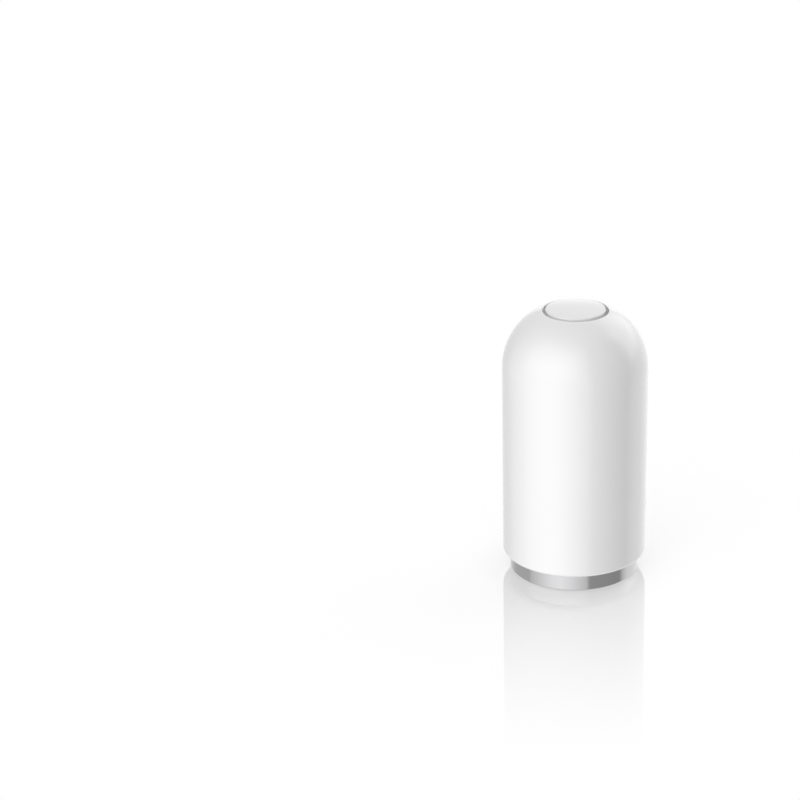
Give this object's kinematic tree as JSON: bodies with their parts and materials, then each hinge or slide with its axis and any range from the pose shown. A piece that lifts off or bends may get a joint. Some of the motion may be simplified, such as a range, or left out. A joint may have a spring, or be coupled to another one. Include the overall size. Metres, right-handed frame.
{
  "type": "stylus cap",
  "caption": "Bullet-shaped white cap with a polished metal rim ring and a slightly domed crown disc; its magnetic socket slips over the plug at the end of a pen-shaped stylus.",
  "frame": {"origin": "centre of the mouth, on the end face of the rim ring, which is the face the cap stands on", "axes": "+Z along the cap's axis, from the mouth to the crown; X and Y lie in the mouth plane, with the first magnet on +X"},
  "size_m": [0.0088, 0.0088, 0.0171],
  "materials": {
    "gloss_white": "polished white plastic",
    "polished_ring": "turned and polished ferritic stainless steel",
    "liner_plastic": "fine matt moulded plastic",
    "magnet_nickel": "nickel-plated sintered magnet",
    "bond": "cured adhesive"
  },
  "bodies": {
    "root": {"outer_shell": "gloss_white", "crown_disc": "gloss_white", "crown_adhesive": "bond", "rim_ring": "polished_ring", "rim_adhesive": "bond", "socket_liner": "liner_plastic", "liner_adhesive": "bond", "magnet_1": "magnet_nickel", "magnet_2": "magnet_nickel", "magnet_3": "magnet_nickel", "magnet_4": "magnet_nickel", "magnet_5": "magnet_nickel", "magnet_6": "magnet_nickel"}
  },
  "joints": []
}
